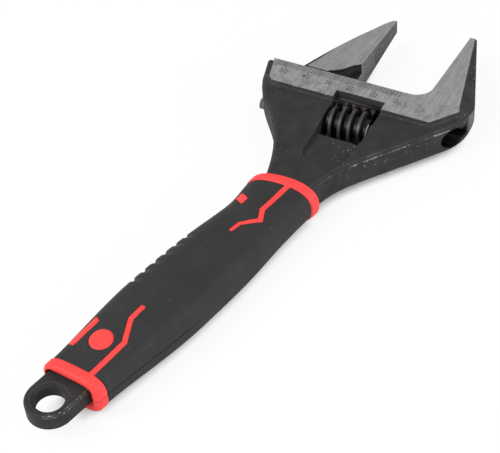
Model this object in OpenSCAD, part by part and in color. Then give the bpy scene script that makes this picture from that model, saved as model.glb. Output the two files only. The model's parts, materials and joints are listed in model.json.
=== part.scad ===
// Wide opening adjustable wrench, 10 inch class, with a two colour moulded grip.
// Origin: axis of the hang hole, at the middle of the thickness.
// +X runs along the handle to the head, +Z comes up out of the scale face.
// In the head, u runs along the rail towards the fixed jaw and v runs towards the jaw tips.

/* [Head] */
// Distance from the hang hole to the throat corner, along the handle
head_x = 198.1; // [190:0.5:210]
// Sideways distance from the handle axis to the throat corner
head_y = -15.8; // [-17:0.1:-14]
// Lean of the jaws away from the handle axis, in degrees
jaw_angle = 12.5; // [11:0.5:14]
// Thickness of the ground strip and of the jaws at their root
head_t = 15.2; // [14.6:0.2:17]
// How far the forged face lies below the ground strip
face_drop = 1.5; // [1:0.1:1.8]
// Width of the ground strip that carries the scale
strip_w = 13.5; // [12.5:0.5:14.5]
// Length of the rail from the fixed jaw to the open end
rail_l = 71.2; // [70:0.2:76]
// Chamfer along the forged edges
forge_edge = 1.2; // [0.8:0.1:1.4]

/* [Jaws] */
// Height of both jaws above the rail
jaw_h = 49.2; // [46:0.2:54]
// Width of the movable jaw along the rail
jaw_base = 21.2; // [20:0.2:22.5]
// Loss of half thickness for each mm of jaw height
jaw_taper = 0.09; // [0.06:0.01:0.1]
// Radius in the throat of the fixed jaw
throat_r = 7.5; // [6:0.5:8.5]
// Width of the fixed jaw at its tip
tip_w = 3; // [2.4:0.2:4]
// Height of the relief notch that clears the throat
notch_h = 11.5; // [10:0.5:14]
// Length of the relief notch along the rail
notch_l = 10; // [9.2:0.2:12]
// Opening between the jaws as modelled
jaw_open = 33.2; // [20:0.1:45]
// Greatest opening between the jaws
jaw_open_max = 50; // [48:0.5:52]
// Gap left between the jaws when they are run together
closed_gap = 0.2; // [0.1:0.1:0.5]
// Gap between the movable jaw and the top of the rail
rail_gap = 0.2; // [0.1:0.05:0.3]

/* [Rack and worm] */
// Depth of the bore's axis below the top of the rail
bore_v = 10.2; // [9.8:0.1:10.6]
// Radius of the round rack on the movable jaw
rack_r = 4.5; // [4.2:0.1:4.8]
// Running clearance between the rack and its bore
rack_gap = 0.1; // [0.05:0.05:0.2]
// Width of the web that joins the jaw to its rack
web_w = 3.8; // [3.2:0.2:4.4]
// Clearance on each side of the web
web_gap = 0.15; // [0.1:0.05:0.3]
// Length of the rack past the face of the movable jaw
rack_out = 24; // [22:0.5:26]
// Pitch of the worm and of the rack
pitch = 4.1; // [4:0.05:4.2]
// Radius of the worm over its crests
worm_r = 7.8; // [7.6:0.1:8]
// Depth of the worm thread
thread_d = 2.6; // [2.2:0.1:2.8]
// Width of a thread crest
crest_w = 1.3; // [1:0.1:1.5]
// Slope of a thread flank, in degrees
flank = 9; // [6:1:12]
// Clearance between the worm thread and the rack teeth
mesh_gap = 0.28; // [0.2:0.02:0.34]
// Length of the worm
worm_l = 18.2; // [17.6:0.2:18.4]
// Distance from the fixed jaw to the near side of the worm window
window_u = 14; // [13.2:0.1:15]
// Length of the worm window along the rail
window_l = 21.1; // [20.9:0.1:22]
// Depth of the worm window below the top of the rail
window_v = 33.1; // [32.5:0.1:35]
// How far the window's far wall draws in towards its lower end
window_draft = 1.6; // [1.2:0.1:1.7]
// Depth of the window's upper wall below the top of the rail
window_top = 9.2; // [8.8:0.1:9.6]
// Gap between the worm and the upper end of the window's far wall
worm_end_gap = 1.3; // [1.2:0.1:1.4]
// Greatest depth of the thumb recess
thumb_d = 2.3; // [1.5:0.1:2.6]
// Length of the thumb recess
thumb_l = 17.3; // [15:0.1:18]
// Radius of the worm pin
pin_r = 2; // [1.8:0.1:2.2]
// Clearance round the worm pin
pin_gap = 0.1; // [0.05:0.05:0.15]
// Radius of the worm pin's head
pin_head_r = 2.5; // [2.3:0.1:2.8]
// How far the worm pin's head stands out of the side of the head
pin_proud = 0.6; // [0.5:0.1:1.4]
// Wire thickness of the worm spring
wire_d = 0.9; // [0.7:0.1:1]
// Turns of the worm spring
spring_turns = 4; // [3:1:5]

/* [Tang] */
// Radius of the rounded hang end
tang_r = 8.8; // [8.4:0.1:9.4]
// Thickness of the tang
tang_t = 7; // [6:0.2:7.4]
// Radius of the hang hole
hole_r = 5.4; // [5:0.1:5.8]
// Chamfer along the tang's edges
tang_edge = 0.6; // [0.4:0.1:0.8]
// Chamfer round the rim of the hang hole
hole_edge = 1.2; // [0.6:0.1:1.6]
// Half width of the tang inside the grip
core_hw = 7.6; // [7:0.1:8]
// Length of the full width hang end, from the hang hole
hang_l = 14; // [12:0.5:16]
// Length of the tang, from the hang hole into the neck of the head
tang_l = 128; // [127:0.5:129]

/* [Grip] */
// Start of the grip, from the hang hole
grip_x0 = 8.6; // [8:0.2:9.6]
// End of the grip, from the hang hole
grip_x1 = 127.5; // [127:0.1:128.5]
// Length of the red collar at the tail
tail_collar = 4.6; // [4:0.2:6]
// Length of the red collar at the head
head_collar = 4.5; // [4:0.1:5.4]
// Widest place of the grip, from the hang hole
belly_x = 59.7; // [54:0.5:66]
// Narrowest place behind the head collar, from the hang hole
waist_x = 110.7; // [106:0.5:114]
// Half width of the grip at its widest
belly_hw = 15; // [14:0.2:16]
// Half thickness of the grip at its thickest
belly_ht = 10.2; // [9.6:0.2:11]
// Half width of the grip at the tail collar
tail_hw = 11.8; // [11.6:0.2:13]
// Half thickness of the grip at the tail collar
tail_ht = 7.8; // [7.6:0.2:9]
// Half width of the grip at its waist
waist_hw = 12.9; // [12.5:0.1:14]
// Half thickness of the grip at its waist
waist_ht = 9; // [8.6:0.1:10]
// Half width of the grip at the head collar
front_hw = 13.7; // [13:0.1:14.5]
// Half thickness of the grip at the head collar
front_ht = 9.5; // [9:0.1:10]
// Roundness of the section at the tail, where 1 is an ellipse and 0 is a box
tail_round = 0.58; // [0.5:0.02:0.8]
// Roundness of the section at the head
front_round = 0.85; // [0.7:0.02:1]
// How far the grip lies to the fixed jaw's side of the tang
grip_side = 1.15; // [0:0.05:1.2]
// Thickness of the soft black sleeve
sleeve_t = 1.2; // [1:0.1:1.6]
// How far the red collars stand proud of the sleeve
collar_proud = 0.3; // [0.2:0.1:0.6]
// Slant of the tail collar across the handle, in degrees
tail_slant = 6.6; // [0:0.2:8]
// Slant of the head collar across the handle, in degrees
head_slant = 14; // [6:0.5:15]
// Number of finger grooves
groove_n = 6; // [4:1:7]
// First finger groove, from the hang hole
groove_x = 58.1; // [56:0.5:62]
// Spacing of the finger grooves
groove_pitch = 5.6; // [5:0.1:6]
// Depth of the finger grooves
groove_d = 0.9; // [0.5:0.1:1.1]
// Radius that cuts the finger grooves
groove_r = 2; // [1.6:0.1:2.4]
// Width of the red inlay lines
inlay_w = 2.1; // [1.8:0.1:2.6]
// Radius of the red inlay disc
disc_r = 4.5; // [4:0.1:5]
// Clearance between the tang and the grip
grip_fit = 0.05; // [0.02:0.01:0.1]

/* [Hidden] */
$fn = 48;
eps = 0.01;
far = 200;
head_half = head_t / 2;
core_half = head_half - face_drop;
bore_r = rack_r + rack_gap;
slot_half = web_w / 2 + web_gap;
worm_v = -(bore_v + rack_r + worm_r - thread_d + mesh_gap);
worm_u = -window_u - window_l + worm_end_gap;
jaw_u = -jaw_open;
rack_root = rack_r - thread_d;
// Overshoot of the cutters that run out of the metal
past = 5;
// Radial room on both sides of the spring wire, and the spring's pocket in the worm
spring_room = 0.4;
spring_gap = window_l - worm_end_gap - worm_l;
spring_r = pin_r + pin_gap + wire_d / 2 + spring_room;
pocket_r = spring_r + wire_d / 2 + spring_room;
pocket_d = 4.4;
// Tight length at the pin's far end, length of the seat of its head, and the screw slot
pin_tip_l = 6;
pin_seat_l = 2;
pin_slot_w = 0.8;
pin_slot_d = 0.7;
pin_tip_u = -window_u + pin_tip_l;
worm_root = worm_r - thread_d;
// Plain length at each end of the worm, before its thread starts
thread_end = 1.3;
thread_start = thread_end - worm_l / 2;
// First crest on the rack side of the worm, along the rail
crest_u = worm_u + 1.2 * thread_end;
lead = atan(pitch / (2 * PI * (worm_r - thread_d / 2)));
// Metal left over the rack's slot where it runs on under the fixed jaw
slot_roof = 2.5;
// Plain metal left at both ends of the rack
rack_end = 1;

// Outlines and shapes
function arc(cx, cy, r, a0, a1, n) =
    [for (i = [0:n]) let (a = a0 + (a1 - a0) * i / n) [cx + r * cos(a), cy + r * sin(a)]];
function bezier(a, b, c, d, n) =
    [for (i = [0:n]) let (t = i / n, s = 1 - t)
        s * s * s * a + 3 * s * s * t * b + 3 * s * t * t * c + t * t * t * d];
function unit(p) = p / norm(p);
function tail(list) = [for (i = [1:len(list) - 1]) list[i]];
// Point moved inwards from both of its edges, on a counter-clockwise outline
function inset_point(p, q, r, d) =
    let (e = unit(q - p), f = unit(r - q), m = [-e.y - f.y, e.x + f.x], k = m * m)
    q + m * 2 * d / max(k, 1);
function inset(pts, d) =
    let (n = len(pts))
    [for (i = [0:n - 1]) inset_point(pts[(i + n - 1) % n], pts[i], pts[(i + 1) % n], d)];

// Forged outline of the head, as two sides of equal length that run from the neck up to the
// rail. The last points of the left side lie inside the fixed jaw.
// The neck follows the end of the tang, which it laps.
neck_lap = 2.1;
neck_v = tang_l - head_x + neck_lap;
neck_left = [-54, -32];
neck_right = [-8.7, -42];
shoulder = [-rail_l + 2.5, -8.6];
side_low = [15.1, -11.6];
side_mid = [18.5, -0.6];
side_top = [17.6, 8.8];
inner_u = 9;
hair = 0.03;
strip_end = -rail_l + 3.2;
left_side = concat(
    bezier([-39.2, neck_v], [-41.9, -54], neck_left + [8, -10], neck_left, 8),
    tail(bezier(neck_left, neck_left + [-5.6, 7], shoulder + [2.2, -10], shoulder, 7)),
    [[-rail_l, -hair]],
    [for (i = [0:5]) [inner_u, -hair + 1.5 * i]]);
right_side = concat(
    bezier([-20.4, neck_v], [-19, -57], [-15, -50.3], neck_right, 8),
    [for (i = [1:4]) neck_right + (side_low - neck_right) * i / 5],
    bezier(side_low, side_low + [2.3, 3.6], side_mid - [0.2, 4.2], side_mid, 4),
    tail(bezier(side_mid, side_mid + [0.25, 3.6], side_top + [1.4, -3.8], side_top, 5)));

// Ground outline of the strip, with the whole of the fixed jaw
ground_outline = concat(
    [[strip_end, 0], [strip_end + 3.2, -strip_w + 2], [strip_end + 5.4, -strip_w],
     [6.7, -strip_w], [14.9, -3.5], [16.6, 0]],
    [side_top, [tip_w, jaw_h], [0, jaw_h]],
    arc(-throat_r, throat_r, throat_r, 360, 270, 10));

// Side of the head where the worm pin comes out
pin_side_u = lookup(worm_v, [for (p = left_side) if (p.x < neck_left.x) [p.y, p.x]]);

module head_frame() {
    translate([head_x, head_y, 0])
        rotate([0, 0, jaw_angle - 90])
            children();
}

// Skin through m rings of n points each, its faces turned outwards when the rings run
// counter-clockwise as seen from the end where they finish
module skin(pts, m, n) {
    sides = [for (k = [0:m - 2]) for (i = [0:n - 1])
        let (a = k * n + i, b = k * n + (i + 1) % n)
            for (t = [[a, a + n, b + n], [a, b + n, b]])
                t];
    base = [for (i = [0:n - 1]) i];
    lid = [for (i = [0:n - 1]) m * n - 1 - i];
    polyhedron(pts, concat([base], sides, [lid]), convexity = 10);
}

// Forging with chamfered edges, grown by a clearance where it is cut out of the grip
module forged_plate(grow = 0) {
    z = core_half + grow;
    c = forge_edge;
    skin([for (i = [0:len(left_side) - 1])
        let (e = unit(right_side[i] - left_side[i]),
             a = left_side[i] - e * grow, b = right_side[i] + e * grow)
        each [[a.x, a.y, c - z], [a.x, a.y, z - c], [a.x + e.x * c, a.y + e.y * c, z],
              [b.x - e.x * c, b.y - e.y * c, z], [b.x, b.y, z - c], [b.x, b.y, c - z],
              [b.x - e.x * c, b.y - e.y * c, -z], [a.x + e.x * c, a.y + e.y * c, -z]]],
        len(left_side), 8);
}

// The strip stands proud of the forged face on a steep bevel
strip_bevel = 60;
module ground_plate() {
    wide = inset(ground_outline, -1.6 * face_drop);
    foot = [for (i = [0:len(wide) - 1])
        ground_outline[i].y > -eps ? ground_outline[i] : wide[i]];
    difference() {
        linear_extrude(height = head_t, center = true)
            polygon(foot);
        for (i = [0:4])
            edge_bevel(ground_outline[i], ground_outline[i + 1]);
    }
}
module edge_bevel(p, q) {
    for (side = [0, 1])
        mirror([0, 0, side])
            translate([p.x, p.y, head_half])
                rotate([0, 0, atan2(q.y - p.y, q.x - p.x)])
                    rotate([strip_bevel, 0, 0])
                        translate([-far / 2, -far / 2, 0])
                            cube([far, far, head_t]);
}

// Wedge that thins a jaw from the rail to its tip, on both faces
module jaw_taper_cut(length) {
    for (side = [0, 1])
        mirror([0, 0, side])
            translate([0, 0, head_half + eps])
                rotate([-atan(jaw_taper), 0, 0])
                    translate([-length, 0, 0])
                        cube([2 * length, far, head_t]);
}

// Slanted bevel down the outer side of the fixed jaw
bevel_u = 14.3;
bevel_tilt = 33.5;
bevel_turn = 21.3;
module jaw_bevel_cut() {
    for (side = [0, 1])
        mirror([0, 0, side])
            translate([bevel_u, 0, head_half])
                rotate([0, 0, bevel_turn])
                    rotate([0, bevel_tilt, 0])
                        translate([-far / 2, -far / 2, 0])
                            cube([far, far, head_t]);
}

// Window through the head, with a draft on the wall at the worm's far end
module window_cut() {
    linear_extrude(height = 2 * head_t, center = true)
        polygon([[-window_u, -window_top], [-window_u - window_l, -window_top],
                 [window_draft - window_u - window_l, -window_v], [-window_u, -window_v]]);
}

// Recess for the thumb under the window, milled by a large round cutter so that its floor
// runs out to the face at its lower end
thumb_run = 13;
thumb_round = 6;
thumb_lip = 1.5;
module thumb_recess() {
    u0 = window_draft - window_u - window_l + 0.3;
    u1 = -window_u - 0.3;
    low = -window_v - thumb_l;
    cutter_r = (pow(thumb_run, 2) + pow(thumb_d, 2)) / (2 * thumb_d);
    for (side = [0, 1])
        mirror([0, 0, side])
            intersection() {
                linear_extrude(height = head_t)
                    polygon(concat([[u1, 1 - window_v], [u0, 1 - window_v]],
                        arc(u0 + thumb_round, low + thumb_round, thumb_round, 180, 270, 6),
                        arc(u1 - thumb_round, low + thumb_round, thumb_round, 270, 360, 6)));
                translate([u0 - 1, low + thumb_run - thumb_lip, core_half - thumb_d + cutter_r])
                    rotate([0, 90, 0])
                        cylinder(h = window_l, r = cutter_r, $fn = 120);
            }
}

module along_rail(u, v, l, r) {
    translate([u, v, 0])
        rotate([0, 90, 0])
            cylinder(h = l, r = r);
}

// Bar of the tang, wide at the hang end and narrower inside the grip
module tang_bar(edge, grow) {
    for (b = [[hang_l, tang_r + grow], [tang_l, core_hw + grow]])
        rotate([90, 0, 90])
            linear_extrude(height = b[0] + grow)
                polygon(chamfered(b[1], tang_t / 2 + grow, edge));
}
function chamfered(w, t, c) = [[c - w, -t], [w - c, -t], [w, c - t], [w, t - c],
                               [w - c, t], [c - w, t], [-w, t - c], [-w, c - t]];

module tang() {
    half = tang_t / 2;
    difference() {
        union() {
            cylinder(h = tang_t - 2 * tang_edge, r = tang_r, center = true);
            for (side = [0, 1])
                mirror([0, 0, side])
                    translate([0, 0, half - tang_edge])
                        cylinder(h = tang_edge, r1 = tang_r, r2 = tang_r - tang_edge);
            tang_bar(tang_edge, 0);
        }
        cylinder(h = 2 * tang_t, r = hole_r, center = true);
        for (side = [0, 1])
            mirror([0, 0, side])
                translate([0, 0, half - hole_edge])
                    cylinder(h = hole_edge + eps, r1 = hole_r, r2 = hole_r + hole_edge);
    }
}

module wrench_body() {
    color("#3a3b3d")
        union() {
            tang();
            head_frame()
                difference() {
                    union() {
                        forged_plate();
                        ground_plate();
                    }
                    jaw_taper_cut(2 * rail_l);
                    jaw_bevel_cut();
                    // Bore and slot of the rack, right through the head
                    along_rail(-rail_l - past, -bore_v, 2 * rail_l, bore_r);
                    translate([-rail_l - past, -bore_v, -slot_half])
                        cube([rail_l + past, bore_v + 2 * throat_r, 2 * slot_half]);
                    translate([-eps, -bore_v, -slot_half])
                        cube([rail_l, bore_v - slot_roof, 2 * slot_half]);
                    // Worm window and its thumb recesses
                    window_cut();
                    thumb_recess();
                    // Pin hole, tight at its far end
                    along_rail(-rail_l - past, worm_v, rail_l + past - window_u, pin_r + pin_gap);
                    along_rail(-window_u - eps, worm_v, pin_tip_l + eps, pin_r);
                    along_rail(-rail_l - past, worm_v, pin_side_u + pin_seat_l + rail_l + past,
                        pin_head_r + pin_gap);
                }
        }
}

module movable_jaw() {
    tip = [-0.6, jaw_h];
    back = bezier(tip, [-10, 32.4], [-16.4, 16], [-jaw_base, rail_gap], 16);
    color("#8f8f8f")
        head_frame()
            translate([jaw_u, 0, 0])
                difference() {
                    union() {
                        difference() {
                            translate([0, 0, -head_half])
                                linear_extrude(height = head_t)
                                    polygon(concat([[0, rail_gap], [0, jaw_h]], back));
                            jaw_taper_cut(2 * jaw_base);
                            // Relief that clears the throat, on both faces
                            for (side = [0, 1])
                                mirror([0, 0, side])
                                    translate([0, 0, web_w / 2])
                                        linear_extrude(height = head_t)
                                            polygon(concat([[eps, notch_h]],
                                                bezier([0, notch_h], [-3.6, 9.5], [-3, 4.2],
                                                    [-notch_l, 1.2], 8),
                                                [[-notch_l, 0], [eps, 0]]));
                        }
                        translate([-jaw_base, -bore_v, -web_w / 2])
                            cube([jaw_base, bore_v + 1, web_w]);
                        along_rail(-jaw_base, -bore_v, jaw_base + rack_out, rack_r);
                    }
                    rack_grooves();
                }
}

// Grooves across the underside of the rack, turned to the lead of the worm
module rack_grooves() {
    depth = thread_d + 1;
    half_in = crest_w / 2 + mesh_gap;
    half_out = half_in + depth * tan(flank);
    mesh_u = crest_u - jaw_u;
    first = ceil((rack_end - jaw_base - mesh_u) / pitch);
    last = floor((rack_out - rack_end - half_in - mesh_u) / pitch);
    for (k = [first:last])
        translate([mesh_u + k * pitch, -bore_v - rack_root, 0])
            rotate([0, lead, 0])
                linear_extrude(height = 4 * rack_r, center = true)
                    polygon([[-half_in, 0], [-half_out, -depth], [half_out, -depth], [half_in, 0]]);
}

// Right-hand thread swept round the worm's axis, with its ends run down to the core
module worm_thread() {
    seg = 30;
    run_out = seg / 3;
    steps = floor((worm_l - 2 * thread_end) / pitch * seg);
    root = worm_root - 0.1;
    low = worm_root + 0.05;
    foot = crest_w / 2 + (worm_r - root) * tan(flank);
    pts = [for (i = [0:steps])
        let (a = 360 * i / seg, u = thread_start + pitch * i / seg,
             r = low + (worm_r - low) * min(1, min(i, steps - i) / run_out))
        for (q = [[foot, root], [crest_w / 2, r], [-crest_w / 2, r], [-foot, root]])
            [u + q.x, q.y * cos(a), q.y * sin(a)]];
    skin(pts, steps + 1, 4);
}

module adjusting_worm() {
    // Turn that brings a crest to crest_u on the side of the rack
    mid = worm_u + worm_l / 2;
    phase = 360 * (mid + thread_start - crest_u) / pitch;
    color("#343536")
        head_frame()
            translate([mid, worm_v, 0])
                difference() {
                    union() {
                        rotate([phase, 0, 0])
                            worm_thread();
                        along_rail(-worm_l / 2, 0, worm_l, worm_root);
                    }
                    along_rail(-worm_l, 0, 2 * worm_l, pin_r + pin_gap);
                    along_rail(worm_l / 2 - pocket_d, 0, worm_l, pocket_r);
                }
}

module worm_pin() {
    color("#2f3032")
        head_frame()
            difference() {
                union() {
                    along_rail(pin_side_u, worm_v, pin_tip_u - pin_side_u, pin_r);
                    along_rail(pin_side_u - pin_proud, worm_v, pin_proud + pin_seat_l, pin_head_r);
                }
                translate([pin_side_u - pin_proud - past, worm_v - pin_slot_w / 2, -2 * pin_head_r])
                    cube([past + pin_slot_d, pin_slot_w, 4 * pin_head_r]);
            }
}

module worm_spring() {
    seg = 14;
    sides = 8;
    end_gap = 0.05;
    steps = spring_turns * seg;
    // The coil is seated between the floor of its pocket and the near wall of the window
    length = pocket_d + spring_gap - wire_d - 2 * end_gap;
    start = -window_u - spring_gap - pocket_d + wire_d / 2 + end_gap;
    pts = [for (i = [0:steps]) let (a = 360 * i / seg)
        for (j = [0:sides - 1]) let (b = -360 * j / sides, r = spring_r + wire_d / 2 * cos(b))
            [start + length * i / steps + wire_d / 2 * sin(b), worm_v + r * cos(a), r * sin(a)]];
    color("#b8b8b4")
        head_frame()
            skin(pts, steps + 1, sides);
}

// The grip swells from the tail to its belly, draws in to a waist and flares to the head.
// Its section is a superellipse that runs from square to round.
sleeve_x0 = grip_x0 + tail_collar;
sleeve_x1 = grip_x1 - head_collar;
ring_n = 28;
grip_steps = 16;
collar_edge = 0.9;
core_inset = 2;
function ease(t, p) = (1 - cos(180 * pow(min(1, max(0, t)), p))) / 2;
function along(x, tail, belly, waist, front) =
    x < belly_x ? tail + (belly - tail) * ease((x - grip_x0) / (belly_x - grip_x0), 0.9)
    : x < waist_x ? belly + (waist - belly) * ease((x - belly_x) / (waist_x - belly_x), 1.8)
    : waist + (front - waist) * ease((x - waist_x) / (grip_x1 - waist_x), 1);
function share(x) = min(1, max(0, (x - grip_x0) / (grip_x1 - grip_x0)));
function half_w(x) = along(x, tail_hw, belly_hw, waist_hw, front_hw);
function half_t(x) = along(x, tail_ht, belly_ht, waist_ht, front_ht);
function mid_y(x) = -grip_side * (1 - ease((x - waist_x + 3) / (grip_x1 - waist_x), 1));
function power(v, e) = sign(v) * pow(abs(v), e);
function grip_ring(x, cut) =
    let (slant = tail_slant + (head_slant - tail_slant) * share(x),
         e = tail_round + (front_round - tail_round) * share(x))
    [for (i = [0:ring_n - 1])
        let (a = 360 * i / ring_n, y = (half_w(x) - cut) * power(cos(a), e),
             z = (half_t(x) - cut) * power(sin(a), e))
        [x - y * tan(slant), y + mid_y(x), z]];
module grip_form(x0, x1, cut) {
    skin([for (i = [0:grip_steps]) each grip_ring(x0 + (x1 - x0) * i / grip_steps, cut)],
        grip_steps + 1, ring_n);
}
// Core of the shell, which the sleeve is moulded round
module grip_core() {
    grip_form(grip_x0 + core_inset, grip_x1 - core_inset, sleeve_t);
}
// Collar with rounded rims
module collar(x0, x1) {
    stops = [[x0, collar_edge], [x0 + 0.3, 0.3], [x0 + collar_edge, 0],
             [x1 - collar_edge, 0], [x1 - 0.3, 0.3], [x1, collar_edge]];
    skin([for (q = stops) each grip_ring(q[0], q[1] - collar_proud)], len(stops), ring_n);
}

// Path of straight bars with mitred corners, raised through the sleeve
module bar(a, b, w) {
    d = unit(b - a);
    m = [-d.y, d.x] * w / 2;
    polygon([a + m - d * w / 4, a - m - d * w / 4, b - m + d * w / 4, b + m + d * w / 4]);
}
// Inlay lines, disc and side bars, as corners on the plan of the handle
tail_line = [[sleeve_x0 - 2, -7.4], [30.5, -7.4], [39.4, -2.2], [46.2, -2.1]];
head_line = [[sleeve_x1 + 3, -4.1], [109, -4.2], [104.2, -7.1], [97.7, -2.4], [92.8, -2.2]];
disc_at = [26.6, 0.15];
side_bar = [[19.4, 6.9], [32.6, 6.9], [34, 9.8], [19.4, 9.8]];
side_block = [[106.7, 4.5], [110.8, 4.5], [113, 9.4], [109, 9.4]];
module inlay_plan() {
    for (p = [tail_line, head_line])
        for (i = [0:len(p) - 2])
            bar(p[i], p[i + 1], inlay_w);
    translate(disc_at)
        circle(r = disc_r);
    polygon(side_bar);
    polygon(side_block);
}
module inlay_prism() {
    for (side = [0, 1])
        mirror([0, 0, side])
            translate([0, 0, 1])
                linear_extrude(height = 2 * belly_ht)
                    inlay_plan();
}

// Room for the tang and for the neck of the head
cavity_v = -51;
module tang_cavity() {
    tang_bar(eps, grip_fit);
    head_frame()
        intersection() {
            forged_plate(grip_fit);
            translate([-far / 2, neck_v - past, -far / 2])
                cube([far, cavity_v - neck_v + past, far]);
        }
}

module grip_shell() {
    color("#e8312f")
        difference() {
            union() {
                grip_core();
                collar(grip_x0, sleeve_x0);
                collar(sleeve_x1, grip_x1);
                intersection() {
                    inlay_prism();
                    grip_form(sleeve_x0 - 1, sleeve_x1 + 1, 0);
                }
            }
            tang_cavity();
        }
}

module finger_grooves() {
    for (i = [0:groove_n - 1])
        let (x = groove_x + i * groove_pitch)
            translate([x, half_w(x) + mid_y(x) + groove_r - groove_d, 0])
                cylinder(h = 3 * belly_ht, r = groove_r, center = true, $fn = 16);
}

module grip_sleeve() {
    color("#3b3b3b")
        difference() {
            grip_form(sleeve_x0, sleeve_x1, 0);
            grip_core();
            inlay_prism();
            finger_grooves();
        }
}

wrench_body();
movable_jaw();
adjusting_worm();
worm_pin();
worm_spring();
grip_shell();
grip_sleeve();
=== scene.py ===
import json
from functools import partial
from math import cos, pi, radians, sin

import bmesh
import bpy
import numpy as np
from mathutils import Matrix, Vector


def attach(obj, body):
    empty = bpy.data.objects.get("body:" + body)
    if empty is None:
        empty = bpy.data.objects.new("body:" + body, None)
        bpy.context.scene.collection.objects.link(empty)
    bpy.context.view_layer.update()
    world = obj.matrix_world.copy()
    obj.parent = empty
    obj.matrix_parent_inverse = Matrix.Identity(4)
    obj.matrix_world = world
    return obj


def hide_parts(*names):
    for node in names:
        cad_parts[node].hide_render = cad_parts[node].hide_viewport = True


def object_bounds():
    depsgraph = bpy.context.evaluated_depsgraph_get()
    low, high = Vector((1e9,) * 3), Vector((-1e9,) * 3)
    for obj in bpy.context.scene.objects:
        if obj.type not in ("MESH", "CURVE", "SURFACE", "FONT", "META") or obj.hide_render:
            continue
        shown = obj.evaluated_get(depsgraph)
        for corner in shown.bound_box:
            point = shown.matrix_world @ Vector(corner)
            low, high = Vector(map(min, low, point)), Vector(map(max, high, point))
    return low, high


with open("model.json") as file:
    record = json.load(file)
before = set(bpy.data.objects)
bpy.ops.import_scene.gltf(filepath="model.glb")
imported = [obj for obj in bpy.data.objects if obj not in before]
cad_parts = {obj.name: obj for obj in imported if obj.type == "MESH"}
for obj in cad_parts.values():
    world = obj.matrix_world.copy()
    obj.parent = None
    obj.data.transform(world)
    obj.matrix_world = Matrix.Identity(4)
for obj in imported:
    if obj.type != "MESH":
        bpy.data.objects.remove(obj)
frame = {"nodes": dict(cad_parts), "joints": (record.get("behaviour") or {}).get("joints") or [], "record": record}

mm = 0.001
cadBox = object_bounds()
bpy.context.scene.view_settings.view_transform = "Standard"


# places in mm and directions, from the frame where it has them. In the head, u runs along the rail, v
# towards the jaw tips and z up, from the throat between the strip and the fixed jaw

head = {"halfThick": 7.6, "taper": 0.09, "faceMiddle": 28, "jawFace": -33.2, "boreAt": -10.2,
        "boreRadius": 4.6, "slotHalf": 2.05, "slotTop": -2.3, "slotEnd": -11, "windowTop": -9.2,
        "window": (-35.6, -13)}
joints = {j["name"]: j for j in frame["joints"]}
mounts = {m["name"]: m for m in frame["record"]["mounts"]}
railDir = np.array(joints["jaw_slide"]["axis"], float)
tipDir = np.array([-railDir[1], railDir[0], 0.0])
upDir = np.array([0, 0, 1.0])
railTurn = float(np.arctan2(railDir[1], railDir[0]))
throat = np.array(mounts["fixed_jaw_face"]["pos_m"]) / mm - head["faceMiddle"] * tipDir
wormMiddle = np.array(joints["worm_spin"]["pos_m"]) / mm
wormU = float(np.dot(wormMiddle - throat, railDir))
wormV = float(np.dot(wormMiddle - throat, tipDir))
# the worm's first crest, counted from its middle, lies in a gap of the rack
rack = {"firstCrest": -7.54, "pitch": 4.1, "endAt": -9.2, "teethTo": -11.2}
rack["gapAt"] = wormU + rack["firstCrest"]
# the movable jaw's back runs along this arc
backArc = {"u": 187.4, "v": -72.0, "radius": 252.4}


def headPoint(u, v, z):
    # throat + u * rail direction + v * tip direction + z * up
    u, v, z = np.broadcast_arrays(u, v, z)
    return throat + u[..., None] * railDir + v[..., None] * tipDir + z[..., None] * upDir


# nodes

# short names for nodes that are used with one setting: the node, the setting and its value
kinds = {"times": ("Math", "operation", "MULTIPLY"),
         "plus": ("Math", "operation", "ADD"),
         "minus": ("Math", "operation", "SUBTRACT"),
         "maximum": ("Math", "operation", "MAXIMUM"),
         "timesPlus": ("Math", "operation", "MULTIPLY_ADD"),
         "absolute": ("Math", "operation", "ABSOLUTE"),
         "fraction": ("Math", "operation", "FRACT"),
         "vectorMinus": ("VectorMath", "operation", "SUBTRACT"),
         "vectorTimes": ("VectorMath", "operation", "MULTIPLY"),
         "vectorLength": ("VectorMath", "operation", "LENGTH"),
         "localSpace": ("Mapping", "vector_type", "TEXTURE"),
         "smooth": ("MapRange", "interpolation_type", "SMOOTHSTEP"),
         "mix": ("Mix", "data_type", "RGBA"),
         "occlusion": ("AmbientOcclusion", "samples", 8)}


def hexColour(code):
    # sRGB hex to linear, channel by channel
    srgb = np.array([int(code[i:i + 2], 16) / 255 for i in (1, 3, 5)])
    lin = np.where(srgb <= 0.04045, srgb / 12.92, ((srgb + 0.055) / 1.055) ** 2.4)
    return (*[float(c) for c in lin], 1.0)


def addNode(tree, kind, *values, inputs=None, pick=0):
    # one node with its setting and its inputs, in order or by name: each is a number, a hex colour or
    # the socket that feeds it. Gives the output picked by name or by its place among those in use.
    base, setting, choice = kinds.get(kind, (kind, None, None))
    made = tree.nodes.new("ShaderNode" + base)
    if setting:
        setattr(made, setting, choice)
    pairs = list(zip([socket for socket in made.inputs if socket.enabled], values))
    pairs += [(made.inputs[name], value) for name, value in (inputs or {}).items()]
    for socket, value in pairs:
        if isinstance(value, bpy.types.NodeSocket):
            tree.links.new(value, socket)
        else:
            socket.default_value = hexColour(value) if isinstance(value, str) else value
    if isinstance(pick, str):
        return made.outputs[pick]
    used = [socket for socket in made.outputs if socket.enabled]
    return used[pick] if used else None


def newMaterial(name):
    mat = bpy.data.materials.new(name)
    mat.use_nodes = True
    mat.node_tree.nodes.clear()
    return mat, partial(addNode, mat.node_tree)


def mmSpace(node, inHead=False):
    # object coordinates in mm; in the head they are measured along u, v and z
    place = tuple(throat * mm) if inHead else (0, 0, 0)
    turn = railTurn if inHead else 0
    return node("localSpace", node("TexCoord", pick="Object"), place, (0, 0, turn), (mm, mm, mm))


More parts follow.
